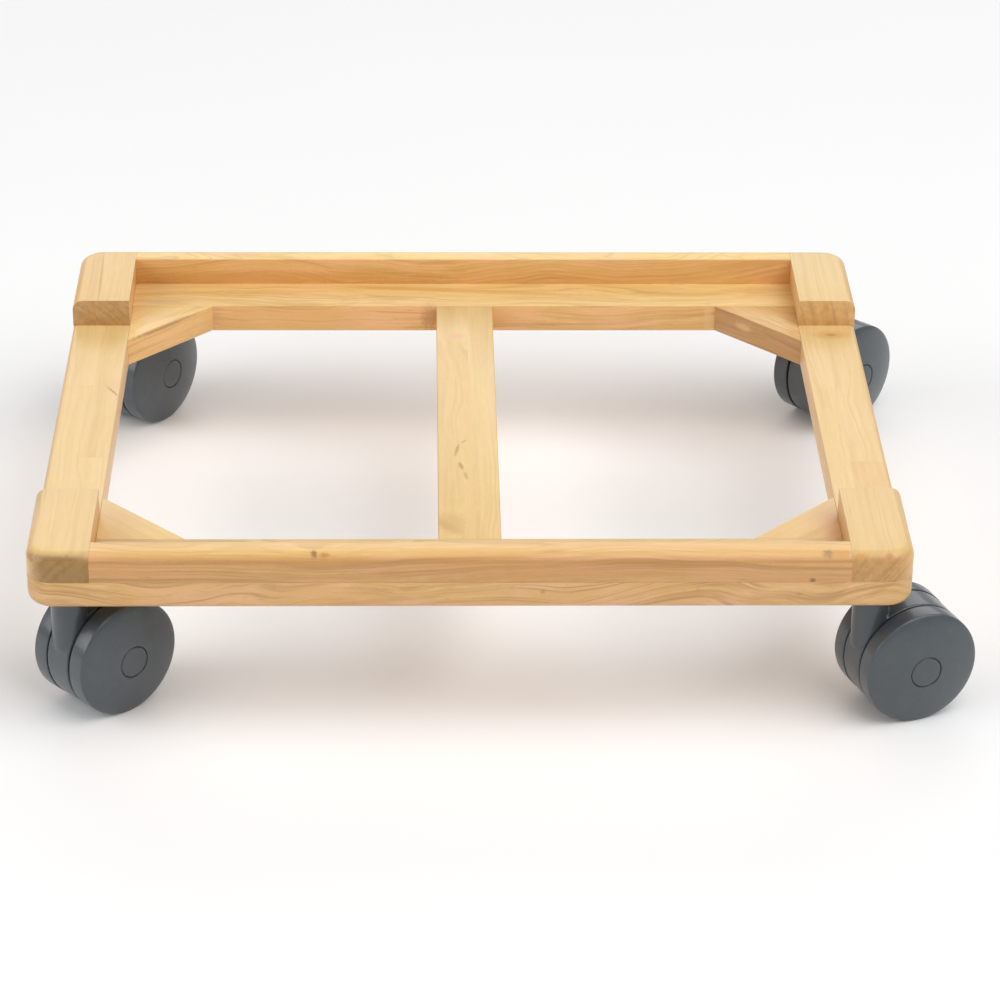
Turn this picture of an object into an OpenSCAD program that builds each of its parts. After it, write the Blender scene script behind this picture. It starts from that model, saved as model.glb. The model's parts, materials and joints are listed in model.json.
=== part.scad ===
// Plant pot caddy: a wooden frame of two glued layers, carried by four swivelling twin-wheel castors.
// The lower layer is a flat deck with a centre slat. The upper layer is a low kerb that keeps the
// planter from sliding off: a block on each corner and a thin rail along the front and the rear.
// The origin is the centre of the deck, on the slat's top face. +X is to the right, +Y to the rear.

/* [Frame] */
// Overall width of the frame, left to right
frame_w = 360; // [320:1:480]
// Overall depth of the frame, front to rear
frame_d = 300; // [260:1:420]
// Thickness of the lower layer
lower_t = 12.5; // [10:0.5:18]
// Thickness of the upper layer
upper_t = 12.5; // [10:0.5:18]
// Radius of the frame's four corners, seen from above
corner_r = 11; // [3:0.5:14]

/* [Boards] */
// Depth of the front and rear rails in the lower layer
lower_rail_d = 37; // [30:1:60]
// Width of the side rails and of the corner blocks
side_w = 26; // [22:1:40]
// Width of the centre slat
slat_w = 26; // [20:1:60]
// Length of a corner gusset along each of its two glued edges
gusset_l = 37; // [20:1:60]
// Length of a corner block, front to rear
block_l = 58; // [45:1:90]
// Depth of the thin rails in the upper layer
upper_rail_d = 12; // [8:0.5:20]

/* [Dowels] */
// Diameter of the dowels that join the lower boards end to edge
dowel_d = 6; // [4:0.5:8]
// Length of a dowel, half of it in each board
dowel_l = 24; // [16:1:26]

/* [Castor wheels] */
// Diameter of a castor wheel
wheel_d = 50; // [40:1:54]
// Width across the rims of the two wheels of a castor
rim_span = 30.8; // [28:0.1:34]
// Width of one wheel's tread
tread_w = 7.8; // [6:0.1:8]
// How far the wheel's outer face is domed beyond its rim
dome_h = 4.4; // [3.5:0.1:6]
// Wall thickness of the wheel's rim and web
wheel_wall = 2.4; // [1.5:0.1:3]
// Diameter of the hub cap in the middle of the wheel's outer face
cap_d = 13.6; // [11:0.2:16]
// Sideways play of the axle in its housing: how far a pair of wheels can stand off the middle
side_play = 0.5; // [0:0.1:0.5]

/* [Castor body] */
// Height from the floor to the underside of the frame
castor_h = 58.5; // [54:0.5:70]
// Distance between the swivel axis and the axle, seen from above
trail = 17.4; // [12:0.1:22]
// Width of the housing between the wheels
housing_w = 13.4; // [12:0.2:13.6]
// Diameter of the housing's drum
drum_d = 49.6; // [40:0.2:49.8]
// Diameter of the housing's neck
neck_d = 12; // [11:0.5:13]
// Length of the neck below the frame's underside
neck_l = 21.5; // [16:0.5:24]
// Clearance under the drum's flat bottom
drum_floor_gap = 3; // [2:0.5:12]

/* [Castor places] */
// Distance of the swivel axes from the frame's centre, left to right
swivel_x = 164.6; // [150:0.1:168]
// Distance of the swivel axes from the frame's centre, front to rear
swivel_y = 132; // [120:0.1:136]
// Turn of the front left castor: 0 trails to the right, 90 to the rear
turn_front_left = 43; // [-180:1:180]
// Turn of the front right castor
turn_front_right = 21; // [-180:1:180]
// Turn of the rear left castor
turn_rear_left = 56; // [-180:1:180]
// Turn of the rear right castor
turn_rear_right = 44; // [-180:1:180]

/* [Castor metal parts] */
// Diameter of the steel stem
stem_d = 8; // [7:0.5:9]
// Diameter of the sleeve that the stem turns in
sleeve_d = 11; // [10.5:0.5:13]
// Height of the sleeve inside the wood
sleeve_h = 20; // [17:0.5:21]
// Diameter of the steel axle
axle_d = 6; // [5:0.5:7]
// Radial running clearance of the stem and of the axle
running_gap = 0.05; // [0.02:0.01:0.1]

/* [Hidden] */
$fn = 72;

// Heights of the frame's faces and of the floor
underside_z = -lower_t;
floor_z = underside_z - castor_h;

// Wheels, measured along the axle from the castor's middle plane
rim_out = rim_span / 2;
rim_in = rim_out - tread_w;
face_out = rim_out + dome_h;
wheel_r = wheel_d / 2;
shoulder_r = 1.2;
hub_in = housing_w / 2 + 0.8;
hub_r = 7.2;
cap_t = 1.6;
cap_crown = 0.3;
cap_in = face_out - cap_crown - cap_t;
clip_room = 2.2;
clip_t = 0.8;
clip_r = 4.7;
web_in = cap_in - clip_room;
axle_out = web_in + 0.3 + clip_t + 0.5;

// Housing, sleeve, stem and grip ring, measured down from the underside at the swivel axis
axle_z = -(castor_h - wheel_r);
flange_t = 1;
flange_r = 7.5;
neck_gap = 0.4;
housing_wall = 2.6;
pocket_w = 4;
stem_in_neck = 19.5;
ring_groove_z = sleeve_h - 4;
ring_t = 1.2;
ring_wall = 0.9;
ring_chamber_r = stem_d / 2 + 0.85;
stem_top = sleeve_h - 1.2;

// Arc points of the domed outer face, as [radius, distance along the axle], from rim to centre
dome_r = (pow(wheel_r, 2) + pow(dome_h, 2)) / (2 * dome_h);
function dome_at(r) = rim_out + dome_h - (dome_r - sqrt(pow(dome_r, 2) - pow(r, 2)));
DOME_STEPS = 12;

WOOD = "burlywood";
END_WOOD = "peru";
PLASTIC = "dimgray";
STEEL = "silver";

// Name, side, end and turn of each castor, and where its wheels stand in the play: from 1 at the
// castor's left to -1 at its right
CASTORS = [
    ["front_left", -1, -1, turn_front_left, -1],
    ["front_right", 1, -1, turn_front_right, -1],
    ["rear_left", -1, 1, turn_rear_left, -1],
    ["rear_right", 1, 1, turn_rear_right, 0]
];
CASTOR_PARTS = [
    "sleeve", "stem", "grip_ring", "housing", "axle", "clips",
    "left_wheel", "right_wheel", "left_cap", "right_cap"
];
BOARDS = ["front_lower_rail", "rear_lower_rail", "left_side_rail", "right_side_rail", "centre_slat"];

// --- Frame -------------------------------------------------------------------------------------

// What the rounded corner at side sx and end sy takes off a square board, seen from above
module corner_waste(sx, sy) {
    translate([sx * frame_w / 2, sy * frame_d / 2])
        difference() {
            square(2 * corner_r, center = true);
            translate([-sx * corner_r, -sy * corner_r]) circle(corner_r);
        }
}

// Hole for the sleeve of the castor at side sx and end sy, from the underside up
module sleeve_hole(sx, sy) {
    translate([sx * swivel_x, sy * swivel_y, underside_z - 1]) cylinder(d = sleeve_d, h = sleeve_h + 1);
}

// One dowel, lying front to rear across the joint between an end rail and the board at x
module dowel(x, sy) {
    translate([x, sy * (frame_d / 2 - lower_rail_d), -lower_t / 2])
        rotate([90, 0, 0]) cylinder(d = dowel_d, h = dowel_l, center = true);
}

// All six dowels
module all_dowels() {
    for (x = [-1, 0, 1], sy = [-1, 1]) dowel(x * (frame_w - side_w) / 2, sy);
}

// Full-width rail at the front (end -1) or the rear (end 1) of the lower layer
module lower_rail(end) {
    color(WOOD) difference() {
        translate([0, 0, underside_z]) linear_extrude(lower_t) difference() {
            translate([0, end * (frame_d - lower_rail_d) / 2]) square([frame_w, lower_rail_d], center = true);
            for (sx = [-1, 1]) corner_waste(sx, end);
        }
        for (sx = [-1, 1]) sleeve_hole(sx, end);
        all_dowels();
    }
}

// Board of the given width and middle, butted between the two lower rails
module lower_board(middle, width) {
    color(WOOD) difference() {
        translate([middle, 0, -lower_t / 2]) cube([width, frame_d - 2 * lower_rail_d, lower_t], center = true);
        all_dowels();
    }
}

// Triangular gusset in the inner corner at side sx and end sy
module gusset(sx, sy) {
    color(WOOD) translate([sx * (frame_w / 2 - side_w), sy * (frame_d / 2 - lower_rail_d), underside_z])
        linear_extrude(lower_t) polygon([[0, 0], [-sx * gusset_l, 0], [0, -sy * gusset_l]]);
}

// Corner block of the upper layer at side sx and end sy
module corner_block(sx, sy) {
    color(END_WOOD) difference() {
        linear_extrude(upper_t) difference() {
            translate([sx * (frame_w - side_w) / 2, sy * (frame_d - block_l) / 2])
                square([side_w, block_l], center = true);
            corner_waste(sx, sy);
        }
        sleeve_hole(sx, sy);
    }
}

// Thin rail of the upper layer, between the corner blocks, along the front or the rear edge
module upper_rail(end) {
    color(WOOD) translate([0, end * (frame_d - upper_rail_d) / 2, upper_t / 2])
        cube([frame_w - 2 * side_w, upper_rail_d, upper_t], center = true);
}

module dowels() {
    color(WOOD) all_dowels();
}

// --- Castors -----------------------------------------------------------------------------------
// Each is drawn about its swivel axis: z = 0 is the frame's underside, and the wheels trail along +X

// Puts a castor's piece at its corner of the frame
module at_castor(c) {
    translate([c[1] * swivel_x, c[2] * swivel_y, underside_z]) rotate([0, 0, c[3]]) children();
}

// Puts a piece that slides with the axle's play at its corner of the frame
module at_wheels(c) {
    at_castor(c) translate([0, c[4] * side_play, 0]) children();
}

// Turns a shape drawn about the Z axis onto the axle, its +Z pointing to the castor's left (side 1)
// or right (side -1)
module on_axle(side) {
    translate([trail, 0, axle_z]) rotate([-side * 90, 0, 0]) children();
}

// Plastic sleeve in the wood, with a flange against the underside and a chamber for the grip ring
module sleeve() {
    color(PLASTIC) difference() {
        union() {
            cylinder(d = sleeve_d, h = sleeve_h);
            translate([0, 0, -flange_t]) cylinder(r = flange_r, h = flange_t);
        }
        translate([0, 0, -flange_t - 1]) cylinder(r = stem_d / 2 + running_gap, h = stem_top + flange_t + 1.6);
        translate([0, 0, ring_groove_z - 0.6]) cylinder(r = ring_chamber_r, h = ring_t + 1.2);
    }
}

// Steel stem, fast in the housing's neck and free to turn in the sleeve
module stem() {
    color(STEEL) difference() {
        translate([0, 0, -stem_in_neck]) cylinder(d = stem_d, h = stem_in_neck + stem_top);
        translate([0, 0, ring_groove_z]) difference() {
            cylinder(d = stem_d + 2, h = ring_t);
            translate([0, 0, -1]) cylinder(r = stem_d / 2 - ring_wall / 2, h = ring_t + 2);
        }
    }
}

// Split spring ring in the stem's groove, which keeps the stem from dropping out of the sleeve
module grip_ring() {
    color(STEEL) translate([0, 0, ring_groove_z + 0.1]) difference() {
        cylinder(r = stem_d / 2 - ring_wall / 2 + ring_wall, h = ring_t - 0.2);
        translate([0, 0, -1]) cylinder(r = stem_d / 2 - ring_wall / 2 + 0.02, h = ring_t + 2);
        translate([0, -0.6, -1]) cube([stem_d, 1.2, ring_t + 2]);
    }
}

// Everything from below the floor up to height h above it, around the housing
module below(h) {
    translate([trail - drum_d, -housing_w, -castor_h - 1]) cube([2 * drum_d, 2 * housing_w, h + 1]);
}

// Housing: a drum between the wheels, flat at the bottom, with the neck that rises to the frame
module housing() {
    color(PLASTIC) difference() {
        union() {
            difference() {
                on_axle(1) cylinder(d = drum_d, h = housing_w, center = true, $fn = 96);
                // Moulded hollows on both sides, around the axle's boss and above the floor wall
                for (side = [-1, 1]) difference() {
                    on_axle(side) translate([0, 0, housing_w / 2 - pocket_w])
                        cylinder(r = drum_d / 2 - housing_wall, h = pocket_w + 1);
                    on_axle(side) cylinder(r = hub_r, h = housing_w);
                    below(drum_floor_gap + housing_wall);
                }
            }
            translate([0, 0, -neck_l]) cylinder(d = neck_d, h = neck_l - flange_t - neck_gap);
            translate([0, 0, -neck_l]) sphere(d = neck_d);
        }
        below(drum_floor_gap);
        translate([0, 0, -stem_in_neck]) cylinder(d = stem_d, h = stem_in_neck + 1);
        on_axle(1) cylinder(d = axle_d, h = housing_w + 2, center = true);
    }
}

// Steel axle through the housing and both wheels
module axle() {
    color(STEEL) on_axle(1) cylinder(d = axle_d, h = 2 * axle_out, center = true);
}

// Push-on clips that hold the wheels on the axle's ends
module clips() {
    color(STEEL) for (side = [-1, 1]) on_axle(side) translate([0, 0, web_in + 0.3]) difference() {
        cylinder(r = clip_r, h = clip_t);
        translate([0, 0, -1]) cylinder(d = axle_d, h = clip_t + 2);
    }
}

// Wheel: rim, domed outer face, hub with the bore, and a recess for the clip and the cap
module wheel(side) {
    tread_in = rim_in + 0.6;
    inner_r = wheel_r - wheel_wall;
    color(PLASTIC) on_axle(side) rotate_extrude($fn = 96) polygon(concat(
        // Hub's inner end, bore, clip room and cap recess
        [[axle_d / 2 + running_gap, hub_in], [axle_d / 2 + running_gap, web_in],
         [clip_r + 0.4, web_in], [clip_r + 0.4, cap_in], [cap_d / 2, cap_in], [cap_d / 2, dome_at(cap_d / 2)]],
        // Domed face out to the shoulder, then the rounded shoulder
        [for (i = [1:DOME_STEPS])
            let (r = cap_d / 2 + (wheel_r - shoulder_r - cap_d / 2) * i / DOME_STEPS) [r, dome_at(r)]],
        [for (a = [60, 30, 0])
            [wheel_r - shoulder_r + shoulder_r * cos(a), rim_out - shoulder_r + shoulder_r * sin(a)]],
        // Tread and the hollow behind the face
        [[wheel_r, tread_in], [wheel_r - 0.6, rim_in], [inner_r, rim_in], [inner_r, rim_out - wheel_wall]],
        [for (i = [DOME_STEPS - 1:-1:0])
            let (r = hub_r + (inner_r - hub_r) * i / DOME_STEPS) [r, dome_at(r) - wheel_wall]],
        [[hub_r, hub_in]]
    ));
}

// Cap that closes the recess in the middle of the wheel's face
module cap(side) {
    color(PLASTIC) on_axle(side) translate([0, 0, cap_in]) cylinder(d = cap_d, h = cap_t);
}

// --- Nodes -------------------------------------------------------------------------------------

lower_rail(-1);  // front_lower_rail
lower_rail(1);  // rear_lower_rail
lower_board(-(frame_w - side_w) / 2, side_w);  // left_side_rail
lower_board((frame_w - side_w) / 2, side_w);  // right_side_rail
lower_board(0, slat_w);  // centre_slat
for (c = CASTORS) {
    gusset(c[1], c[2]);
    corner_block(c[1], c[2]);
}
upper_rail(-1);  // front_upper_rail
upper_rail(1);  // rear_upper_rail
dowels();
for (c = CASTORS) {
    at_castor(c) sleeve();
    at_castor(c) stem();
    at_castor(c) grip_ring();
    at_castor(c) housing();
    at_wheels(c) axle();
    at_wheels(c) clips();
    at_wheels(c) wheel(1);
    at_wheels(c) wheel(-1);
    at_wheels(c) cap(1);
    at_wheels(c) cap(-1);
}
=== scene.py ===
import json
import math
import random

import bmesh
import bpy
from mathutils import Matrix, Vector


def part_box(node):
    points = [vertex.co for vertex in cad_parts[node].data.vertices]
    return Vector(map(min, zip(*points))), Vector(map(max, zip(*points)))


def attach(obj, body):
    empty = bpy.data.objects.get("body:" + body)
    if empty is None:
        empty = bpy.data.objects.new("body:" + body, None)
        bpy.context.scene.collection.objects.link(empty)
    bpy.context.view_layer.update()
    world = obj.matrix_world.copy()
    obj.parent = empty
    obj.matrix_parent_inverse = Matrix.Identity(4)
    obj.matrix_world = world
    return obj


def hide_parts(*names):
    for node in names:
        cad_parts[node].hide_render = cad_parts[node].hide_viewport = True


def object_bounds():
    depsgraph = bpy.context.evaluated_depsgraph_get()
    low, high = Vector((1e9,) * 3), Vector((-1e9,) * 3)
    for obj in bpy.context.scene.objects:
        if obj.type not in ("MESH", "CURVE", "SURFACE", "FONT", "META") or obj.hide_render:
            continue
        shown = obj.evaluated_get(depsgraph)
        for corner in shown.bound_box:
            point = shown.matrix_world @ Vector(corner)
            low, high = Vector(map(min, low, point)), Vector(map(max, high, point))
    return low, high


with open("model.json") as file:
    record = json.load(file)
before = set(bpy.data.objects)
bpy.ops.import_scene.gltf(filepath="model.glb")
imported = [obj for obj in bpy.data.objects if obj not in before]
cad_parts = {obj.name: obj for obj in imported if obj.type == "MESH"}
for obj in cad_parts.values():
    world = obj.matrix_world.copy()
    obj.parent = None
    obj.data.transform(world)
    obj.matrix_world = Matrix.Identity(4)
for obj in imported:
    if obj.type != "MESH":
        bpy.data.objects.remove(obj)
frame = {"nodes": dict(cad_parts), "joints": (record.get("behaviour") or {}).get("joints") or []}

# The looks of a wooden plant pot caddy on four dark grey castors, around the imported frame.
# Lengths in this script are in metres, and MM turns millimetres into them.
MM = 0.001
CAD_LOW, CAD_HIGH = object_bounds()
random.seed(5)

# --- Places and sizes read from the frame -----------------------------------------------------

SLAT_LOW, SLAT_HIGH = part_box("centre_slat")
DECK_Z = SLAT_HIGH.z
UNDER_Z = SLAT_LOW.z
TOP_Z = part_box("front_upper_rail")[1].z
HALF_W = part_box("front_lower_rail")[1].x
HALF_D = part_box("rear_lower_rail")[1].y
RAIL_IN_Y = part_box("rear_lower_rail")[0].y
SIDE_IN_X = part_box("right_side_rail")[0].x
BLOCK_IN_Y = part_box("rear_right_block")[0].y
UPPER_IN_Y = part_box("rear_upper_rail")[0].y
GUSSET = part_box("rear_right_gusset")
GUSSET_L = GUSSET[1].x - GUSSET[0].x

CORNER_R = 11 * MM
EDGE_ROUND = 4.8 * MM
RAIL_ROUND = 2.2 * MM
BOTTOM_ROUND = 4.2 * MM
EASE = 0.5 * MM
HAIRLINE = 0.16 * MM

CORNERS = ("front_left", "front_right", "rear_left", "rear_right")
JOINTS = {j["name"]: j for j in frame["joints"]}
ROOT = "frame"


def sides(corner):
    """(-1 or 1 left to right, -1 or 1 front to rear) of a corner."""
    return (1 if "right" in corner else -1), (1 if "rear" in corner else -1)


def new_object(name, data):
    """An object linked to the scene."""
    o = bpy.data.objects.new(name, data)
    bpy.context.scene.collection.objects.link(o)
    return o


# --- Small node-graph builder -----------------------------------------------------------------


def srgb(r, g, b):
    """An 8-bit screen colour as the linear colour that shaders use."""
    def linear(v):
        v /= 255
        return v / 12.92 if v <= 0.04045 else ((v + 0.055) / 1.055) ** 2.4
    return (linear(r), linear(g), linear(b), 1)


class Graph:
    """A material's node graph. Each method adds one node and returns its result."""

    def __init__(self, name):
        self.material = bpy.data.materials.new(name)
        self.material.use_nodes = True
        self.tree = self.material.node_tree
        self.shader = self.tree.nodes["Principled BSDF"]

    def put(self, socket, value):
        """Links a node's output to a socket, or sets the socket to a plain value."""
        if isinstance(value, bpy.types.NodeSocket):
            self.tree.links.new(value, socket)
        else:
            socket.default_value = value

    def set(self, **values):
        """Sets the Principled shader's sockets, with _ for a space."""
        for name, value in values.items():
            self.put(self.shader.inputs[name.replace("_", " ")], value)

    def math(self, operation, a, b):
        n = self.tree.nodes.new("ShaderNodeMath")
        n.operation = operation
        for socket, value in zip(n.inputs, (a, b)):
            self.put(socket, value)
        return n.outputs[0]

    def vector_math(self, operation, a, b=(0, 0, 0)):
        n = self.tree.nodes.new("ShaderNodeVectorMath")
        n.operation = operation
        self.put(n.inputs[0], a)
        self.put(n.inputs[1], b)
        return n.outputs["Value" if operation == "LENGTH" else "Vector"]

    def noise(self, vector, scale, detail, roughness, stretch=None):
        """Noise from 0 to 1. stretch multiplies the place along X, Y and Z first."""
        if stretch:
            vector = self.vector_math("MULTIPLY", vector, stretch)
        n = self.tree.nodes.new("ShaderNodeTexNoise")
        self.put(n.inputs["Vector"], vector)
        n.inputs["Scale"].default_value = scale
        n.inputs["Detail"].default_value = detail
        n.inputs["Roughness"].default_value = roughness
        return n.outputs["Fac"]

    def noise_line(self, w, scale, detail, roughness):
        """Noise along one number."""
        n = self.tree.nodes.new("ShaderNodeTexNoise")
        n.noise_dimensions = "1D"
        self.put(n.inputs["W"], w)
        n.inputs["Scale"].default_value = scale
        n.inputs["Detail"].default_value = detail
        n.inputs["Roughness"].default_value = roughness
        return n.outputs["Fac"]

    def range(self, value, low, high, to_low=0.0, to_high=1.0):
        """Maps low..high to to_low..to_high, smoothly and clamped."""
        n = self.tree.nodes.new("ShaderNodeMapRange")
        n.interpolation_type = "SMOOTHSTEP"
        for socket, v in zip(n.inputs, (value, low, high, to_low, to_high)):
            self.put(socket, v)
        return n.outputs[0]

    def mix(self, factor, a, b, blend="MIX"):
        n = self.tree.nodes.new("ShaderNodeMix")
        n.data_type = "RGBA"
        n.blend_type = blend
        for name, value in (("Factor_Float", factor), ("A_Color", a), ("B_Color", b)):
            self.put(next(s for s in n.inputs if s.identifier == name), value)
        return next(s for s in n.outputs if s.identifier == "Result_Color")

    def attribute(self, name, output):
        n = self.tree.nodes.new("ShaderNodeAttribute")
        n.attribute_name = name
        return n.outputs[output]

    def position(self):
        """The place in the object's own frame, in metres."""
        return self.tree.nodes.new("ShaderNodeTexCoord").outputs["Object"]

    def join(self, x, y, z):
        n = self.tree.nodes.new("ShaderNodeCombineXYZ")
        for socket, value in zip(n.inputs, (x, y, z)):
            self.put(socket, value)
        return n.outputs[0]

    def oval(self, place, half, turn):
        """Distance from the middle of an oval, 1 at its rim, in the object's own millimetres."""
        n = self.tree.nodes.new("ShaderNodeMapping")
        n.vector_type = "TEXTURE"
        self.put(n.inputs["Vector"], self.position())
        n.inputs["Location"].default_value = [v * MM for v in place]
        n.inputs["Rotation"].default_value = [math.radians(v) for v in turn]
        n.inputs["Scale"].default_value = [v * MM for v in half]
        return self.vector_math("LENGTH", n.outputs[0])

    def split(self, vector):
        n = self.tree.nodes.new("ShaderNodeSeparateXYZ")
        self.put(n.inputs[0], vector)
        return n.outputs

    def bump(self, height, distance, strength):
        n = self.tree.nodes.new("ShaderNodeBump")
        n.inputs["Strength"].default_value = strength
        n.inputs["Distance"].default_value = distance
        self.put(n.inputs["Height"], height)
        self.put(self.shader.inputs["Normal"], n.outputs[0])


# --- Materials --------------------------------------------------------------------------------

PALE = (0.76, 0.485, 0.21, 1)
DEEP = (0.66, 0.37, 0.135, 1)
WARM = (0.71, 0.385, 0.145, 1)
BROWN = (0.45, 0.23, 0.08, 1)
UMBER = (0.20, 0.10, 0.04, 1)
END_LIGHT = (0.60, 0.345, 0.118, 1)
END_DARK = (0.46, 0.245, 0.076, 1)
RUST = (0.52, 0.21, 0.055, 1)
ROSE = (0.80, 0.44, 0.24, 1)
AMBER = (0.66, 0.32, 0.085, 1)


def wood(name, marks=()):
    """Light rubberwood under satin lacquer. The boards carry four attributes: "grain" is the place
    in the tree in millimetres, x along the grain and the pith at y = z = 0; "tint" is the stave's
    own colour times the end grain's tone and the painted light on upward faces, its alpha the
    strength of the figure; "wave" is how far the rings wander, in millimetres; "end" is how
    squarely the grain is cut there, 1 on end grain. marks are (place, half sizes, turn about X, Y
    and Z, paint, strength), the first two in millimetres in the row frame and the turns in degrees."""
    g = Graph(name)
    grain = g.attribute("grain", "Vector")
    tint = g.attribute("tint", "Color")
    figure = g.attribute("tint", "Alpha")
    wave = g.attribute("wave", "Fac")
    end = g.attribute("end", "Fac")
    x, y, z = g.split(grain)

    def share(value, amount):
        return g.math("MULTIPLY", g.math("MULTIPLY", value, amount), figure)

    # Growth rings round the pith, bent by slow noise along the board
    def sway(stretch):
        return g.math("MULTIPLY", g.math("SUBTRACT", g.noise(grain, 1, 2, 0.5, stretch), 0.5), wave)

    ring_y = g.math("ADD", y, sway((0.008, 0.022, 0.022)))
    ring_z = g.math("ADD", z, sway((0.011, 0.03, 0.017)))
    radius = g.vector_math("LENGTH", g.join(0.0, ring_y, ring_z))
    ring_dark = g.range(g.noise_line(radius, 0.36, 4.0, 0.62), 0.38, 0.66)

    # Fibres, streaks, flecks, fine ring lines, pores and slow patches, drawn out along the grain
    fibres = g.noise(grain, 1, 4, 0.6, (0.022, 1.0, 1.0))
    broad = g.join(g.math("MULTIPLY", x, 0.011), g.math("MULTIPLY", ring_y, 0.4), ring_z)
    streak = g.range(g.noise(broad, 0.42, 3, 0.6), 0.48, 0.70)
    short = g.join(g.math("MULTIPLY", x, 0.2), ring_y, ring_z)
    fleck = g.range(g.noise(short, 0.5, 3, 0.65), 0.36, 0.64)
    line = g.math("MULTIPLY", g.range(g.noise_line(radius, 1.1, 2, 0.6), 0.54, 0.66),
                  g.range(g.noise(grain, 1, 2, 0.5, (0.012, 0.08, 0.08)), 0.38, 0.60))
    pore_dark = g.range(g.noise(grain, 1, 2, 0.7, (0.16, 3.0, 3.0)), 0.58, 0.72)
    patches = g.range(g.noise(grain, 1, 2, 0.5, (0.007, 0.05, 0.05)), 0.40, 0.68)
    blush = g.range(g.noise(grain, 1, 2, 0.5, (0.03, 0.09, 0.09)), 0.42, 0.66)

    colour = g.mix(share(ring_dark, 0.50), PALE, DEEP)
    colour = g.mix(share(fleck, 0.32), colour, DEEP)
    colour = g.mix(share(g.range(fibres, 0.3, 0.75), 0.25), colour, WARM)
    colour = g.mix(share(patches, 0.35), colour, WARM)
    colour = g.mix(share(blush, 0.26), colour, ROSE)
    colour = g.mix(share(streak, 0.26), colour, BROWN)
    colour = g.mix(share(line, 0.26), colour, BROWN)
    colour = g.mix(share(pore_dark, 0.20), colour, BROWN)
    # End grain drinks the lacquer: darker and browner, mottled, with open pores
    mottle = g.range(g.noise(grain, 1, 3, 0.6, (0.02, 0.33, 0.33)), 0.35, 0.65)
    end_dark = g.math("ADD", g.math("MULTIPLY", ring_dark, 0.5), g.math("MULTIPLY", mottle, 0.5))
    end_colour = g.mix(end_dark, END_LIGHT, END_DARK)
    end_colour = g.mix(g.math("MULTIPLY", pore_dark, 0.3), end_colour, UMBER)
    colour = g.mix(end, colour, end_colour)
    # The tint attribute multiplies in the stave's tone, the end-grain tone and the painted light on
    # upward faces
    colour = g.mix(1.0, colour, tint, "MULTIPLY")

    # Knots and marks, and a few painted shadows and shade, as soft ovals with a ragged rim
    if marks:
        ragged = g.noise(g.position(), 700, 3, 0.6)
        ragged = g.math("MULTIPLY", g.math("SUBTRACT", ragged, 0.5), 1.1)
    for place, half, turn, paint, strength in marks:
        reach = g.math("ADD", g.oval(place, half, turn), ragged)
        colour = g.mix(g.range(reach, 1.2, 0.35, 0.0, strength), colour, paint)

    g.set(Base_Color=colour, Roughness=g.range(fibres, 0.2, 0.8, 0.34, 0.48))
    g.set(Specular_IOR_Level=0.45, Coat_Weight=0.2, Coat_Roughness=0.24)
    height = g.math("ADD", g.math("MULTIPLY", pore_dark, -0.7), g.math("MULTIPLY", fibres, 0.3))
    g.bump(height, 0.06 * MM, 0.5)
    return g.material


def dowel_wood():
    """Plain beech dowel, seen only when the frame is taken apart."""
    g = Graph("dowel_beech")
    fibres = g.noise(g.position(), 1, 4, 0.6, (1400, 60, 1400))
    flecks = g.range(g.noise(g.position(), 1, 2, 0.6, (2600, 300, 2600)), 0.60, 0.72, 0.0, 0.5)
    colour = g.mix(g.range(fibres, 0.3, 0.7), (0.66, 0.45, 0.25, 1), (0.52, 0.33, 0.17, 1))
    colour = g.mix(flecks, colour, (0.33, 0.19, 0.09, 1))
    g.set(Base_Color=colour, Roughness=g.range(fibres, 0.3, 0.7, 0.55, 0.75))
    g.bump(fibres, 0.05 * MM, 0.5)
    return g.material


def castor_plastic(name, base, wear_and_top_light):
    """Dark grey nylon with a fine moulded skin. Its last argument lightens it a little where it rubs, as
    wear.
    """
    g = Graph(name)
    place = g.position()
    speck = g.noise(place, 420, 2, 0.5)
    rubbed = g.range(g.noise(place, 160, 3, 0.6), 0.45, 0.8, 0.0, wear_and_top_light)
    lighter = tuple(1.25 * c for c in base[:3]) + (1,)
    colour = g.mix(g.range(speck, 0.3, 0.75, 0.2, 0.5), base, lighter)
    colour = g.mix(rubbed, colour, (0.16, 0.17, 0.18, 1))
    g.set(Base_Color=colour, Roughness=g.range(speck, 0.2, 0.8, 0.28, 0.38))
    g.set(Specular_IOR_Level=0.5, Coat_Weight=0.3, Coat_Roughness=0.12)
    g.bump(speck, 0.02 * MM, 0.2)
    return g.material


def steel():
    g = Graph("zinc_plated_steel")
    place = g.position()
    brushed = g.noise(place, 1, 3, 0.6, (350, 350, 5000))
    spots = g.noise(place, 700, 3, 0.6)
    colour = g.mix(g.range(spots, 0.4, 0.7, 0.0, 0.5), (0.62, 0.63, 0.65, 1), (0.48, 0.48, 0.50, 1))
    g.set(Base_Color=colour, Metallic=1.0, Roughness=g.range(brushed, 0.3, 0.7, 0.24, 0.42))
    g.bump(brushed, 0.02 * MM, 0.4)
    return g.material


WOOD = wood("rubberwood")
DOWEL_WOOD = dowel_wood()
PLASTIC = castor_plastic("castor_nylon", srgb(64, 71, 76), 0.05)
TREAD = castor_plastic("castor_wheel_nylon", srgb(65, 72, 77), 0.10)
STEEL = steel()
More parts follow.
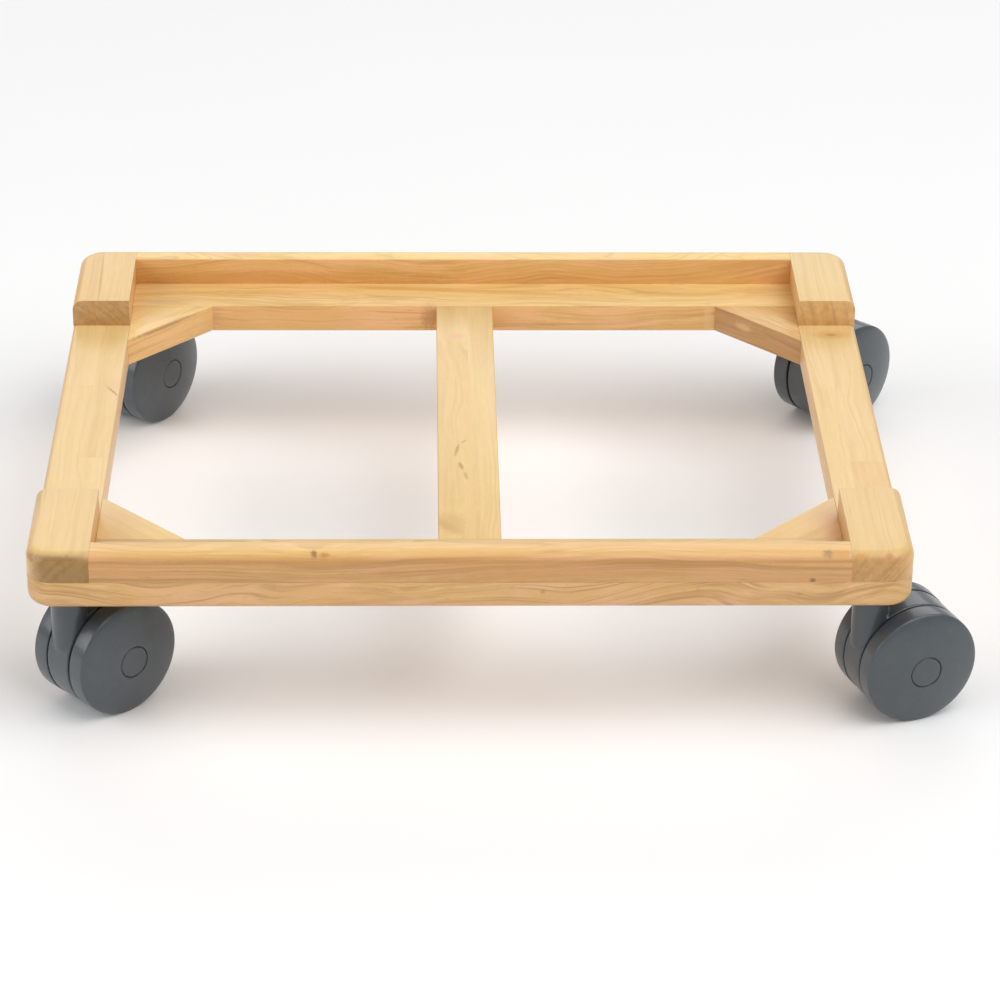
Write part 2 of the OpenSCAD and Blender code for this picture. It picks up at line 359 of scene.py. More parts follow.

# --- Boards -----------------------------------------------------------------------------------

# How each board is made up. rows pairs a row's upper limit across the grain, in millimetres, with
# the places along the grain where its staves meet end to end; BOARD_END takes what is left. tints
# are the staves' own tones in that order. wave says how far the grain wanders, in millimetres,
# slope how steeply it climbs, and figure how strongly it shows. tip says from which side the pith
# looks in, in degrees above the board's side. ends colours the end grain. Each board's lift, times
# the shared factor for upward faces, is painted light that makes the tops lighter than the sides.
# marks are as in wood().
BOARD_END = 999
PLAIN, LIGHT, ROSY, TAWNY = (1, 1, 1), (1.02, 1.03, 1.05), (0.97, 0.90, 0.86), (0.99, 0.965, 0.93)
LOOKS = {
    "front_lower_rail": dict(
        tints=[(0.98, 1.02, 1.01)], wave=34, slope=0.05, figure=2.6, tip=60,
        marks=[((29, -150, -4.3), (1.3, 9, 1.0), (0, 0, 0), BROWN, 0.6),
               ((133, -150, -5.4), (1.6, 9, 0.8), (0, 0, 0), BROWN, 0.65),
               ((-48, -150, -7), (40, 9, 6), (0, 6, 0), WARM, 0.5),
               ((-40, -150, -8.6), (26, 9, 1.3), (0, -5, 0), BROWN, 0.3),
               ((165, -150, -4), (6, 9, 1.5), (0, -30, 0), RUST, 0.35)]),
    "rear_lower_rail": dict(
        tints=[(1.10, 1.09, 1.0)], wave=20, slope=0.02, figure=2.2, tip=50,
        marks=[((-2, 130, 0), (75, 2.6, 9), (0, 0, -5), AMBER, 0.5),
               ((-110, 128, 0), (50, 2.2, 9), (0, 0, 1), AMBER, 0.35),
               # Painted shadow of the centre slat: a dark patch on this rail's front face just left of
               # the slat
               ((-16, 113, -6), (5, 9, 7), (0, 0, 0), BROWN, 0.6),
               ((114, 113, -6), (2.5, 9, 20), (0, 0, 0), PALE, 0.6)]),
    "left_side_rail": dict(
        rows=[(-166, [30]), (BOARD_END, [-40])],
        tints=[PLAIN, LIGHT, LIGHT, PLAIN], wave=6, figure=0.8,
        marks=[((-157.3, 24.4, 0), (6.6, 0.75, 9), (0, 0, -60), BROWN, 0.8),
               ((-158, 30, 0), (5, 6, 9), (0, 0, 0), ROSE, 0.35)]),
    "right_side_rail": dict(
        rows=[(164, [-92]), (BOARD_END, [-68, -44])],
        tints=[LIGHT, PLAIN, PLAIN, ROSY, PLAIN], wave=7, figure=0.9,
        marks=[((168.2, 82, 0), (9, 5, 9), (0, 0, 0), AMBER, 0.45),
               ((168.2, 82, 0), (2.8, 1.4, 9), (0, 0, 0), BROWN, 0.7),
               ((172, 94, 0), (1.2, 2.6, 9), (0, 0, 0), BROWN, 0.6)]),
    "centre_slat": dict(
        rows=[(1.2, [35, 75]), (BOARD_END, [])],
        tints=[PLAIN, TAWNY, PLAIN, LIGHT], wave=9, figure=0.8,
        marks=[((-4.1, 81, 0), (3.6, 4.6, 9), (0, 0, 0), ROSE, 0.7),
               ((-4.7, -33, 0), (0.9, 6.5, 9), (0, 0, -8), BROWN, 0.72),
               ((-1.6, -25, 0), (0.8, 2.4, 9), (0, 0, -35), BROWN, 0.5),
               ((-3.1, -48, 0), (1.1, 4.2, 9), (0, 0, 12), BROWN, 0.72),
               ((-1.1, -57, 0), (0.9, 4.0, 9), (0, 0, 8), BROWN, 0.5),
               ((-8, -99, 0), (8, 11, 9), (0, 0, 25), BROWN, 0.24),
               ((-10, -101, 0), (3, 12, 9), (0, 0, 40), RUST, 0.22)]),
    "front_left_gusset": dict(tints=[(1.03, 1.01, 1.02)], wave=8, figure=0.8),
    "front_right_gusset": dict(
        tints=[(0.98, 0.94, 0.94)], wave=8,
        marks=[((149, -101, 0), (5, 15, 9), (0, 0, 0), ROSE, 0.55)]),
    "rear_left_gusset": dict(
        tints=[(1.16, 1.18, 1.13)], wave=14, figure=1.7, tip=70,
        marks=[((-139, 91, -0.3), (23, 1.5, 1.5), (0, 0, 45), BROWN, 0.8)]),
    "rear_right_gusset": dict(
        # Painted shade: the dark tint darkens this gusset's front-left face, which looks away from the
        # key light, and its high lift paints its top back up to the others
        tints=[(0.74, 0.69, 0.62)], wave=16, figure=2.3, wear_and_top_light=1.33, tip=70,
        marks=[((129.5, 101, -5), (5, 6, 2.2), (0, 0, 0), PALE, 0.6)]),
    "front_left_block": dict(
        tints=[(0.99, 0.98, 0.96)], wave=9, figure=0.7, tip=-50, ends=(0.63, 0.62, 0.56),
        marks=[((-167, -149, 10.6), (15, 9, 1.1), (0, 0, 0), UMBER, 0.45),
               ((-178, -144, 9.2), (2.5, 6, 1.5), (0, 0, 0), UMBER, 0.45),
               # Painted shade: a thin dark line at the foot of the block's inner face, where it meets
               # the layer below
               ((-154, -122, 0.6), (0.8, 16, 0.9), (0, 0, 0), UMBER, 0.8)]),
    "front_right_block": dict(
        tints=[(0.97, 0.95, 0.89)], wave=6, figure=0.8, tip=-40, ends=(1.03, 1.02, 1.12),
        marks=[((157.5, -149, 10.9), (2.6, 9, 1.3), (0, 0, 0), AMBER, 0.9),
               ((169, -149, 10.9), (2.0, 9, 1.2), (0, 0, 0), RUST, 0.7),
               # Painted shade: a thin dark line at the foot of the block's inner face, where it meets
               # the layer below
               ((154, -124, 0.6), (0.8, 16, 0.9), (0, 0, 0), UMBER, 0.8)]),
    "rear_left_block": dict(
        rows=[(-169.5, []), (BOARD_END, [])],
        tints=[(1, 0.96, 0.92), (1.01, 0.98, 0.96)], wave=8, figure=0.7, tip=45, ends=(0.95, 1.02, 1.25),
        marks=[((-168.8, 120, 12.5), (0.7, 30, 9), (0, 0, 1.5), BROWN, 0.5)]),
    "rear_right_block": dict(
        tints=[(0.99, 1.0, 1.01)], wave=5, figure=0.7, tip=10, ends=(1.22, 1.29, 1.5)),
    "front_upper_rail": dict(
        tints=[(0.89, 0.835, 0.755)], wave=12, slope=0.012, figure=2.0, wear_and_top_light=1.18, tip=60,
        marks=[((-63.3, -147.5, 12), (1.6, 2.4, 2.0), (0, 0, 0), UMBER, 0.72),
               ((-59.2, -148, 11.8), (2.6, 1.6, 1.3), (0, 0, 0), RUST, 0.7),
               ((144.3, -147.6, 11.9), (2.8, 2.8, 2.0), (0, 0, 0), UMBER, 0.55),
               ((149.5, -148, 11.4), (4.5, 3.0, 2.4), (0, 0, 0), AMBER, 0.8),
               ((138.2, -150, 0.9), (1.4, 9, 1.3), (0, 0, 0), UMBER, 0.8),
               # A darker brown band along the whole front face, just under the top rounding
               ((0, -150, 9.3), (210, 30, 1.0), (0, 0, 0), BROWN, 0.42)]),
    "rear_upper_rail": dict(
        tints=[(1.12, 1.14, 1.02)], wave=24, slope=0.03, figure=1.8, wear_and_top_light=1.05, tip=60,
        marks=[((-90, 138, 3), (85, 9, 4), (0, 0, 0), AMBER, 0.5)]),
}
# Painted light: upward faces are multiplied by this, so the tops come out lighter than the sides
UPPER_PAINTED_LIGHT = (1.08, 1.22, 1.23)
DEFAULT_TIP = 65
# How far the pith lies from the board's middle, in millimetres
PITH_REACH = (45, 90)

ARC_STEPS = 12
# How near counts as touching, and how sharp a fold, in radians, is rounded as an edge
TOUCH = 0.05 * MM
SHARP_FOLD = 0.6
# Folds sharper than this are shaded as creases
BOARD_CREASE, LATHE_CREASE = math.radians(35), math.radians(32)


def arc(cx, cy, radius, start, end):
    """Points on a plan arc from start to end degrees, both ends included."""
    turns = [start + (end - start) * i / ARC_STEPS for i in range(ARC_STEPS + 1)]
    angles = [math.radians(turn) for turn in turns]
    return [(cx + radius * math.cos(a), cy + radius * math.sin(a)) for a in angles]


def cut(bm, point, normal):
    """Divides a whole mesh along a plane and keeps both halves."""
    everything = bm.verts[:] + bm.edges[:] + bm.faces[:]
    bmesh.ops.bisect_plane(bm, geom=everything, plane_co=point, plane_no=normal)


def slab(outline, low, high, cuts=()):
    """A prism over a plan outline given anticlockwise. cuts are planes (point, normal) that divide
    its faces, so that a rounding can stop there."""
    bm = bmesh.new()
    floor = [bm.verts.new((x, y, low)) for x, y in outline]
    roof = [bm.verts.new((x, y, high)) for x, y in outline]
    bm.faces.new(list(reversed(floor)))
    bm.faces.new(roof)
    for i, j in zip(range(len(outline)), list(range(1, len(outline))) + [0]):
        bm.faces.new((floor[i], floor[j], roof[j], roof[i]))
    for point, normal in cuts:
        cut(bm, point, normal)
    return bm


def round_edges(bm, radius, segments, chosen):
    """Rounds the sharp edges whose middle the chosen function picks."""
    bm.normal_update()
    edges = [e for e in bm.edges
             if len(e.link_faces) == 2 and e.calc_face_angle() > SHARP_FOLD
             and chosen((e.verts[0].co + e.verts[1].co) / 2)]
    if edges:
        bmesh.ops.bevel(bm, geom=edges, offset=radius, segments=segments, profile=0.5,
                        affect="EDGES", clamp_overlap=True)


def smooth(t):
    """0 below 0 and 1 above 1, with an even curve between."""
    t = min(1.0, max(0.0, t))
    return t * t * (3 - 2 * t)


def near(a, b):
    return abs(a - b) < TOUCH


def on_outside(p):
    """Whether a point lies on the frame's rounded outer outline."""
    qx, qy = abs(p.x) - (HALF_W - CORNER_R), abs(p.y) - (HALF_D - CORNER_R)
    if qx > 0 and qy > 0:
        return abs(math.hypot(qx, qy) - CORNER_R) < 5 * TOUCH
    return near(abs(p.x), HALF_W) or near(abs(p.y), HALF_D)


def finish_board(bm, name, along):
    """Cuts the board into staves, gives each its own place in the tree and its own tint, and puts
    the finished piece in the scene. along is the grain's direction, seen from above."""
    look = LOOKS[name]
    rows = look.get("rows", [(BOARD_END, [])])
    run = Vector((*along, 0)).normalized()
    side = Vector((-run.y, run.x, 0)) if abs(run.x) > abs(run.y) else Vector((run.y, -run.x, 0))
    limits = [limit * MM for limit, _ in rows]
    low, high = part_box(name)
    middle = (low + high) / 2
    bmesh.ops.recalc_face_normals(bm, faces=bm.faces)
    for limit in limits[:-1]:
        cut(bm, side * limit, side)

    def row_of(p):
        return next(i for i, limit in enumerate(limits) if p.dot(side) < limit)

    for r, (_, joints) in enumerate(rows):
        for joint in joints:
            faces = [f for f in bm.faces if row_of(f.calc_center_median()) == r]
            edges = list({e for f in faces for e in f.edges})
            verts = list({v for f in faces for v in f.verts})
            bmesh.ops.bisect_plane(bm, geom=verts + edges + faces,
                                   plane_co=run * joint * MM, plane_no=run)
    mesh = bpy.data.meshes.new(name)
    bm.to_mesh(mesh)
    bm.free()
    mesh.shade_smooth()
    mesh.set_sharp_from_angle(angle=BOARD_CREASE)

    # One pith, slope and tint for each stave
    staves, tints = {}, list(look["tints"])
    for r, (_, joints) in enumerate(rows):
        for c in range(len(joints) + 1):
            tip = math.radians(look.get("tip", DEFAULT_TIP)) + random.uniform(-0.15, 0.15)
            reach = random.choice((-1, 1)) * random.uniform(*PITH_REACH)
            slope = look.get("slope", 0.0) + random.uniform(-0.008, 0.008)
            staves[(r, c)] = dict(pith=(reach * math.cos(tip), reach * math.sin(tip)), slope=slope,
                                  start=random.uniform(-900, 900), tint=tints[len(staves)])
    for attribute, kind in (("grain", "FLOAT_VECTOR"), ("tint", "FLOAT_COLOR"),
                            ("end", "FLOAT"), ("wave", "FLOAT")):
        mesh.attributes.new(attribute, kind, "CORNER")
    grain, tint, end, wave = (mesh.attributes[a].data for a in ("grain", "tint", "end", "wave"))
    squareness = [n.vector.dot(run) for n in mesh.corner_normals]
    ends = look.get("ends", PLAIN)
    # Painted light on the upward faces: the board's own factor times the shared one
    wear_and_top_light = [v * look.get("wear_and_top_light", 1) for v in UPPER_PAINTED_LIGHT]
    for face in mesh.polygons:
        r = row_of(face.center)
        c = sum(face.center.dot(run) > joint * MM for joint in rows[r][1])
        s = staves[(r, c)]
        for loop in face.loop_indices:
            p = mesh.vertices[mesh.loops[loop].vertex_index].co
            length, across, rise = ((p - middle).dot(v) / MM for v in (run, side, Vector((0, 0, 1))))
            grain[loop].vector = (length + s["start"],
                                  across + s["pith"][0] + length * s["slope"],
                                  rise + s["pith"][1] - length * s["slope"])
            square = min(1.0, squareness[loop] ** 2 * 1.1)
            up = smooth((mesh.corner_normals[loop].vector.z - 0.55) / 0.4)
            # Each corner takes the end-grain tone and, as far as it faces up, the painted top light
            end_tone_and_top_light = [(1 + (e - 1) * square) * (1 + (v - 1) * up) for e, v in zip(ends, wear_and_top_light)]
            strength = look.get("figure", 1) * (1 - 0.3 * up)
            tint[loop].color = (*(t * v for t, v in zip(end_tone_and_top_light, s["tint"])), strength)
            end[loop].value = square
            wave[loop].value = look["wave"]
    piece = new_object(name + "_board", mesh)
    mesh.materials.append(wood(name + "_wood", look["marks"]) if "marks" in look else WOOD)
    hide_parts(name)
    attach(piece, ROOT)


def lower_rail(end, name):
    """Front (end -1) or rear (end 1) rail of the lower layer, with the frame's rounded corners."""
    inner = end * RAIL_IN_Y
    cx, cy = HALF_W - CORNER_R, end * (HALF_D - CORNER_R)
    if end < 0:
        outline = [(HALF_W, inner), (-HALF_W, inner)]
        outline += arc(-cx, cy, CORNER_R, 180, 270) + arc(cx, cy, CORNER_R, 270, 360)
    else:
        outline = [(-HALF_W, inner), (HALF_W, inner)]
        outline += arc(cx, cy, CORNER_R, 0, 90) + arc(-cx, cy, CORNER_R, 90, 180)
    bm = slab(outline, UNDER_Z, DECK_Z)
    round_edges(bm, BOTTOM_ROUND, 6, lambda p: near(p.z, UNDER_Z) and on_outside(p))
    round_edges(bm, HAIRLINE, 2, lambda p: not (near(p.z, UNDER_Z) and on_outside(p)))
    finish_board(bm, name, (1, 0))


def side_rail(sx, name):
    """Side rail, butted between the lower rails, its outer top edge rounded between the blocks."""
    low, high = sorted((sx * SIDE_IN_X, sx * HALF_W))
    outline = [(low, -RAIL_IN_Y), (high, -RAIL_IN_Y), (high, RAIL_IN_Y), (low, RAIL_IN_Y)]
    cuts = [((0, s * BLOCK_IN_Y, 0), (0, 1, 0)) for s in (-1, 1)]
    bm = slab(outline, UNDER_Z, DECK_Z, cuts)

    def outer(p):
        return near(abs(p.x), HALF_W) and abs(p.y) < RAIL_IN_Y - MM

    round_edges(bm, RAIL_ROUND, 5, lambda p: near(p.z, DECK_Z) and outer(p) and abs(p.y) < BLOCK_IN_Y)
    round_edges(bm, BOTTOM_ROUND, 6, lambda p: near(p.z, UNDER_Z) and outer(p))
    round_edges(bm, EASE, 3, lambda p: near(abs(p.x), SIDE_IN_X) and abs(p.y) < RAIL_IN_Y - MM)
    round_edges(bm, HAIRLINE, 2, lambda p: near(abs(p.y), RAIL_IN_Y))
    finish_board(bm, name, (0, 1))


def slat():
    """Slat down the middle, butted between the lower rails."""
    low, high = SLAT_LOW, SLAT_HIGH
    outline = [(low.x, low.y), (high.x, low.y), (high.x, high.y), (low.x, high.y)]
    bm = slab(outline, low.z, high.z)
    round_edges(bm, EASE, 3, lambda p: near(abs(p.x), high.x) and abs(p.y) < high.y - MM)
    round_edges(bm, HAIRLINE, 2, lambda p: near(abs(p.y), high.y))
    finish_board(bm, "centre_slat", (0, 1))


def gusset(corner):
    """Triangular gusset. Its grain runs along its long edge."""
    sx, sy = sides(corner)
    a, b = (sx * SIDE_IN_X, sy * RAIL_IN_Y), (sx * (SIDE_IN_X - GUSSET_L), sy * RAIL_IN_Y)
    c = (sx * SIDE_IN_X, sy * (RAIL_IN_Y - GUSSET_L))
    bm = slab([a, b, c] if sx * sy > 0 else [a, c, b], UNDER_Z, DECK_Z)
    middle_z = (UNDER_Z + DECK_Z) / 2

    def glued(p):
        return near(abs(p.x), SIDE_IN_X) or near(abs(p.y), RAIL_IN_Y)

    round_edges(bm, EASE, 3, lambda p: not glued(p) and not near(p.z, middle_z))
    round_edges(bm, HAIRLINE, 2, glued)
    finish_board(bm, corner + "_gusset", (1, -sx * sy))


def corner_block(corner):
    """Block on a corner of the upper layer: grain front to rear, outer top edges well rounded."""
    sx, sy = sides(corner)
    cx, cy = HALF_W - CORNER_R, HALF_D - CORNER_R
    outline = [(SIDE_IN_X, BLOCK_IN_Y), (HALF_W, BLOCK_IN_Y)]
    outline += arc(cx, cy, CORNER_R, 0, 90) + [(SIDE_IN_X, HALF_D)]
    outline = [(sx * x, sy * y) for x, y in outline]
    if sx * sy < 0:
        outline.reverse()
    bm = slab(outline, DECK_Z, TOP_Z)

    def outer(p):
        return on_outside(p) and not near(abs(p.y), BLOCK_IN_Y)

    def inner(p):
        return near(abs(p.x), SIDE_IN_X) or near(abs(p.y), BLOCK_IN_Y)

    round_edges(bm, EDGE_ROUND, 7, lambda p: near(p.z, TOP_Z) and outer(p))
    round_edges(bm, EASE, 3, lambda p: near(p.z, TOP_Z) and inner(p))
    round_edges(bm, HAIRLINE, 2, lambda p: True)
    finish_board(bm, corner + "_block", (0, 1))


def upper_rail(end, name):
    """Thin rail of the upper layer between two blocks."""
    low, high = sorted((end * UPPER_IN_Y, end * HALF_D))
    outline = [(-SIDE_IN_X, low), (SIDE_IN_X, low), (SIDE_IN_X, high), (-SIDE_IN_X, high)]
    bm = slab(outline, DECK_Z, TOP_Z)
    round_edges(bm, EDGE_ROUND, 7, lambda p: near(p.z, TOP_Z) and near(abs(p.y), HALF_D))
    round_edges(bm, EASE, 3, lambda p: near(p.z, TOP_Z) and near(abs(p.y), UPPER_IN_Y))
    round_edges(bm, HAIRLINE, 2, lambda p: True)
    finish_board(bm, name, (1, 0))


lower_rail(-1, "front_lower_rail")
lower_rail(1, "rear_lower_rail")
side_rail(-1, "left_side_rail")
side_rail(1, "right_side_rail")
slat()
for corner in CORNERS:
    gusset(corner)
    corner_block(corner)
upper_rail(-1, "front_upper_rail")
upper_rail(1, "rear_upper_rail")

# --- Castors ----------------------------------------------------------------------------------

LATHE_STEPS = 96
FILLET_STEPS = 5
FACE_STEPS = 12
HOLLOW_STEPS = 10
ON_AXIS = 1e-7
STRAIGHT = 0.02


def filleted(points):
    """A closed profile of (radius, distance along the axis, fillet) as a line with its corners
    rounded."""
    line = []
    count = len(points)
    for i, (r, a, fillet) in enumerate(points):
        here = Vector((r, a))
        back = Vector(points[i - 1][:2]) - here
        ahead = Vector(points[(i + 1) % count][:2]) - here
        angle = back.angle(ahead)
        if fillet <= 0 or abs(angle - math.pi) < STRAIGHT:
            line.append(here)
            continue
        reach = min(fillet / math.tan(angle / 2), 0.49 * back.length, 0.49 * ahead.length)
        first, last = here + back.normalized() * reach, here + ahead.normalized() * reach
        for k in range(FILLET_STEPS + 1):
            t = k / FILLET_STEPS
            line.append(first.lerp(here, t).lerp(here.lerp(last, t), t))
    return line


def lathe(name, points, material, closed=True):
    """A turned solid about the local Z axis. Profile points are (radius, distance, fillet)."""
    line = filleted(points)
    bm = bmesh.new()
    rings = []
    for p in line:
        if p.x < ON_AXIS:
            rings.append([bm.verts.new((0, 0, p.y))])
            continue
        rings.append([bm.verts.new((p.x * math.cos(math.tau * k / LATHE_STEPS),
                                    p.x * math.sin(math.tau * k / LATHE_STEPS), p.y))
                      for k in range(LATHE_STEPS)])
    pairs = list(zip(rings, rings[1:])) + ([(rings[-1], rings[0])] if closed else [])
    for one, two in pairs:
        for k in range(LATHE_STEPS):
            m = (k + 1) % LATHE_STEPS
            quad = [one[k % len(one)], one[m % len(one)], two[m % len(two)], two[k % len(two)]]
            quad = list(dict.fromkeys(quad))
            if len(quad) > 2:
                bm.faces.new(quad)
    bmesh.ops.recalc_face_normals(bm, faces=bm.faces)
    mesh = bpy.data.meshes.new(name)
    bm.to_mesh(mesh)
    bm.free()
    mesh.shade_smooth()
    mesh.set_sharp_from_angle(angle=LATHE_CREASE)
    mesh.materials.append(material)
    return mesh


def place_of(corner):
    """The castor's own frame: origin on the swivel axis at the frame's underside, +X along the
    trail, +Y along the axle to the castor's left, +Z up; and the wheels' centre in the row frame."""
    swivel = Vector(JOINTS[corner + "_swivel"]["pos_m"])
    roll = JOINTS[corner + "_left_roll"]
    left = Vector(roll["axis"]).normalized()
    ahead = left.cross(Vector((0, 0, 1)))
    m = Matrix((ahead, left, Vector((0, 0, 1)))).transposed().to_4x4()
    m.translation = swivel
    return m, Vector(roll["pos_m"])


def axle_frame(corner, side):
    """Local +Z along the axle, outwards on the castor's left (side 1) or right (side -1)."""
    castor, centre = place_of(corner)
    m = castor @ Matrix.Rotation(-side * math.pi / 2, 4, "X")
    m.translation = centre
    return m


def node_span(node, origin, axis):
    """Lowest and highest reach of a CAD node along an axis from origin."""
    reach = [(v.co - origin).dot(axis) for v in frame["nodes"][node].data.vertices]
    return min(reach), max(reach)


def add(mesh, name, matrix, body, node):
    """Puts a copy of a castor's mesh in its place in the row frame, as a piece that rides a body
    and stands in for a CAD node."""
    placed = mesh.copy()
    placed.name = name
    placed.transform(matrix)
    piece = new_object(name, placed)
    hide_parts(node)
    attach(piece, body)


def paint_node(node, material):
    """Gives a carried-over CAD node its material."""
    mesh = frame["nodes"][node].data
    mesh.materials.clear()
    mesh.materials.append(material)


CASTOR, WHEEL_CENTRE = place_of("front_left")
AHEAD, LEFT, UP = (Vector(c) for c in CASTOR.to_3x3().transposed())
SHOULDER = 1.2 * MM
CAP_CROWN = 0.3 * MM
CLIP_ROOM = 2.2 * MM
CLIP_R = 5.1 * MM
WALL = 2.4 * MM
HUB_R = 7.2 * MM
RUNNING_GAP = 0.05 * MM
AXLE_R = node_span("front_left_axle", WHEEL_CENTRE, UP)[1]
WHEEL_R = node_span("front_left_left_wheel", WHEEL_CENTRE, UP)[1]
WHEEL_IN, WHEEL_OUT = node_span("front_left_left_wheel", WHEEL_CENTRE, LEFT)
CAP_IN, CAP_OUT = node_span("front_left_left_cap", WHEEL_CENTRE, LEFT)
CAP_R = node_span("front_left_left_cap", WHEEL_CENTRE, UP)[1]
TREAD_FROM = 0.96 * WHEEL_R
SPOKES = [v.co - WHEEL_CENTRE for v in frame["nodes"]["front_left_left_wheel"].data.vertices]
RIM_IN = min(spoke.dot(LEFT) for spoke in SPOKES if spoke.cross(LEFT).length > TREAD_FROM)
FACE_TIP = CAP_OUT + CAP_CROWN
DOME_H = 4.4 * MM
RIM_OUT = FACE_TIP - DOME_H
DOME_R = (WHEEL_R ** 2 + DOME_H ** 2) / (2 * DOME_H)
HOUSING_HALF = node_span("front_left_housing", WHEEL_CENTRE, LEFT)[1]
HOUSING_LOW = node_span("front_left_housing", WHEEL_CENTRE, UP)[0]
DRUM_R = node_span("front_left_housing", WHEEL_CENTRE, AHEAD)[1]
NECK_R = -node_span("front_left_housing", CASTOR.translation, AHEAD)[0]
NECK_TOP = node_span("front_left_housing", CASTOR.translation, UP)[1]
TRAIL = (WHEEL_CENTRE - CASTOR.translation).xy.length
AXLE_Z = WHEEL_CENTRE.z - CASTOR.translation.z
NECK_FOOT = -28 * MM
KNIFE_SIZE = 100 * MM


def dome_at(r):
    """Reach of the wheel's domed face along the axle at a distance r from it."""
    return FACE_TIP - (DOME_R - math.sqrt(DOME_R ** 2 - r ** 2))


def wheel_mesh():
    """Hollow wheel with a domed outer face and a recess for the hub cap."""
    inner = WHEEL_R - WALL
    bore = AXLE_R + RUNNING_GAP
    recess = CAP_R + 0.1 * MM
    edge = WHEEL_R - SHOULDER
    face = [CAP_R + (edge - CAP_R) * i / FACE_STEPS for i in range(1, FACE_STEPS + 1)]
    hollow = [inner - (inner - HUB_R) * i / HOLLOW_STEPS for i in range(1, HOLLOW_STEPS + 1)]
    points = [(bore, WHEEL_IN, 0.2 * MM), (bore, CAP_IN - CLIP_ROOM, 0),
              (CLIP_R, CAP_IN - CLIP_ROOM, 0), (CLIP_R, CAP_IN, 0),
              (recess, CAP_IN, 0), (recess, dome_at(CAP_R), 0.6 * MM)]
    points += [(r, dome_at(r), 0) for r in face]
    points += [(WHEEL_R, RIM_OUT - 0.2 * MM, 0.9 * MM), (WHEEL_R, RIM_IN, 0.5 * MM),
               (inner, RIM_IN, 0.5 * MM), (inner, RIM_OUT - WALL, 1.0 * MM)]
    points += [(r, dome_at(r) - WALL, 0) for r in hollow]
    points += [(HUB_R, WHEEL_IN, 0.3 * MM)]
    return lathe("castor_wheel", points, TREAD)


def cap_mesh():
    """Hub cap, its face slightly crowned."""
    rim = CAP_R - 0.05 * MM
    points = [(0, CAP_IN, 0), (rim, CAP_IN, 0.1 * MM), (rim, CAP_OUT - 0.2 * MM, 0.7 * MM),
              (CAP_R * 0.6, CAP_OUT - 0.06 * MM, 2 * MM), (0, CAP_OUT, 0)]
    return lathe("castor_hub_cap", points, PLASTIC, closed=False)


def applied(piece):
    """The piece's mesh with its modifiers applied, as a new mesh. The piece is removed."""
    graph = bpy.context.evaluated_depsgraph_get()
    mesh = bpy.data.meshes.new_from_object(piece.evaluated_get(graph))
    bpy.data.objects.remove(piece)
    return mesh


def housing_mesh():
    """Drum with a flat bottom and a round neck, blended where they meet."""
    half = HOUSING_HALF
    drum = new_object("drum", lathe("drum", [(AXLE_R, -half, 0), (DRUM_R, -half, 0.2 * MM),
                                             (DRUM_R, half, 0.2 * MM), (AXLE_R, half, 0)], PLASTIC))
    neck = new_object("neck", lathe("neck", [(0, NECK_FOOT, 0), (NECK_R, NECK_FOOT, 6.0 * MM),
                                             (NECK_R, NECK_TOP, 0.5 * MM), (0, NECK_TOP, 0)],
                                    PLASTIC, closed=False))
    on_axle = Matrix.Translation((TRAIL, 0, AXLE_Z)) @ Matrix.Rotation(math.pi / 2, 4, "X")
    drum.matrix_world = on_axle
    knife_mesh = bpy.data.meshes.new("floor_cut")
    bm = bmesh.new()
    bmesh.ops.create_cube(bm, size=KNIFE_SIZE)
    bm.to_mesh(knife_mesh)
    bm.free()
    knife = new_object("floor_cut", knife_mesh)
    knife.matrix_world = Matrix.Translation((0, 0, AXLE_Z + HOUSING_LOW - KNIFE_SIZE / 2))
    bpy.context.view_layer.update()
    for other, operation in ((neck, "UNION"), (knife, "DIFFERENCE")):
        m = drum.modifiers.new(operation, "BOOLEAN")
        m.object, m.operation, m.solver = other, operation, "EXACT"
    remesh = drum.modifiers.new("even_out", "REMESH")
    remesh.mode, remesh.voxel_size = "VOXEL", 0.5 * MM
    soften = drum.modifiers.new("soften", "SMOOTH")
    soften.factor, soften.iterations = 0.5, 7
    matrix = drum.matrix_world.copy()
    mesh = applied(drum)
    mesh.transform(matrix)
    for o in (neck, knife):
        bpy.data.objects.remove(o)
    mesh.name = "castor_housing"
    mesh.materials.clear()
    mesh.materials.append(PLASTIC)
    mesh.shade_smooth()
    return mesh


WHEEL, CAP, HOUSING = wheel_mesh(), cap_mesh(), housing_mesh()
for corner in CORNERS:
    castor, centre = place_of(corner)
    add(HOUSING, corner + "_castor_housing", castor, corner + "_castor", corner + "_housing")
    for side, word in ((1, "left"), (-1, "right")):
        body, m = f"{corner}_{word}_spinner", axle_frame(corner, side)
        outwards = m.to_3x3() @ Vector((0, 0, 1))
        # Each wheel stands as far out as its CAD node, with that node's side play
        slid = node_span(f"{corner}_{word}_wheel", centre, outwards)[1] - WHEEL_OUT
        m.translation += slid * outwards
        add(WHEEL, f"{corner}_{word}_castor_wheel", m, body, f"{corner}_{word}_wheel")
        add(CAP, f"{corner}_{word}_hub_cap", m, body, f"{corner}_{word}_cap")
    paint_node(corner + "_sleeve", PLASTIC)
    for part in ("stem", "grip_ring", "axle", "clips"):
        paint_node(f"{corner}_{part}", STEEL)
paint_node("dowels", DOWEL_WOOD)

# --- Camera, floor and light ------------------------------------------------------------------

# The photograph's viewpoint: what the camera looks at, from how far and at what angles
CAMERA_AIM = Vector((13, -79, 0)) * MM
CAMERA_DISTANCE = 1570.4 * MM
CAMERA_PITCH, CAMERA_YAW, CAMERA_ROLL = (math.radians(a) for a in (28.06, 1.38, 0.60))
LENS_MM = 134.4
SENSOR_MM = 36
VIEW_LIMIT = 50
FLOOR_HALF = 12

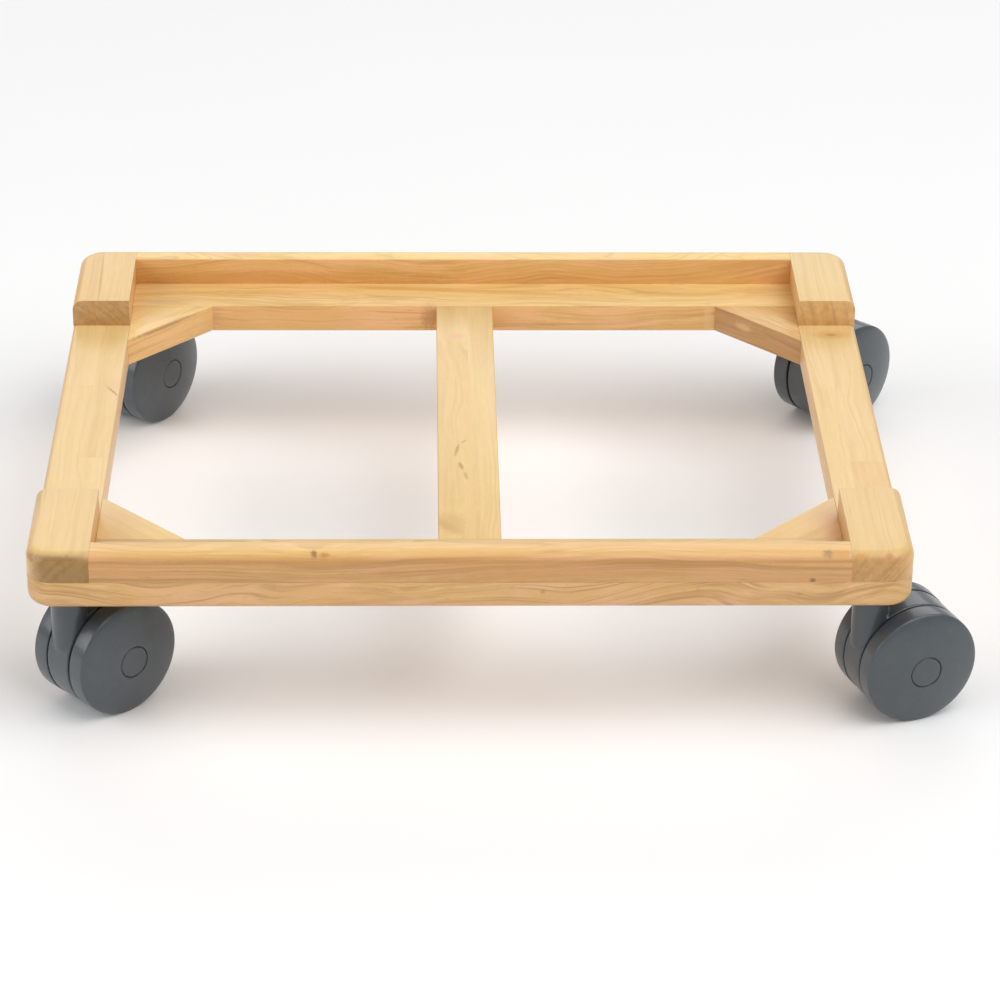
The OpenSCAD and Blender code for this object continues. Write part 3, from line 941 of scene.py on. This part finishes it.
flat = math.cos(CAMERA_PITCH)
forward = Vector((math.sin(CAMERA_YAW) * flat, math.cos(CAMERA_YAW) * flat, -math.sin(CAMERA_PITCH)))
level = Vector((math.cos(CAMERA_YAW), -math.sin(CAMERA_YAW), 0))
upright = level.cross(forward)
across = level * math.cos(CAMERA_ROLL) + upright * math.sin(CAMERA_ROLL)
above = upright * math.cos(CAMERA_ROLL) - level * math.sin(CAMERA_ROLL)
camera_data = bpy.data.cameras.new("camera")
camera_data.lens = LENS_MM
camera_data.sensor_width = SENSOR_MM
camera_data.clip_end = VIEW_LIMIT
camera = new_object("camera", camera_data)
matrix = Matrix((across, above, -forward)).transposed().to_4x4()
matrix.translation = CAMERA_AIM - forward * CAMERA_DISTANCE
camera.matrix_world = matrix
bpy.context.scene.camera = camera


def floor_material():
    g = Graph("pale_floor")
    cloud = g.noise(g.position(), 3, 2, 0.5)
    colour = g.mix(cloud, (0.935, 0.935, 0.935, 1), (0.955, 0.955, 0.955, 1))
    g.set(Base_Color=colour, Roughness=0.85, Specular_IOR_Level=0.1)
    return g.material


def floor():
    """Plain square floor under the wheels, in metres."""
    mesh = bpy.data.meshes.new("floor")
    s = FLOOR_HALF
    mesh.from_pydata([(-s, -s, 0), (s, -s, 0), (s, s, 0), (-s, s, 0)], [], [(0, 1, 2, 3)])
    mesh.materials.append(floor_material())
    o = new_object("floor", mesh)
    o.location.z = CAD_LOW.z


def softbox(name, place, width, depth, watts):
    """A rectangular white light that looks at the middle of the deck."""
    data = bpy.data.lights.new(name, "AREA")
    data.shape, data.size, data.size_y, data.energy = "RECTANGLE", width, depth, watts
    o = new_object(name, data)
    o.location = place
    o.rotation_mode = "QUATERNION"
    o.rotation_quaternion = (-Vector(place)).to_track_quat("-Z", "Y")


floor()
softbox("key", (1.13, -0.8, 1.84), 2.4, 2.4, 41)
softbox("side_fill", (-1.7, -0.6, 0.9), 1.6, 1.2, 16)
softbox("backdrop", (0, 2.5, 1.3), 3.0, 1.5, 20)
world = bpy.data.worlds.new("studio")
world.use_nodes = True
background = world.node_tree.nodes["Background"].inputs
background["Color"].default_value = (1, 1, 1, 1)
background["Strength"].default_value = 0.38
bpy.context.scene.world = world
bpy.context.scene.view_settings.view_transform = "Standard"
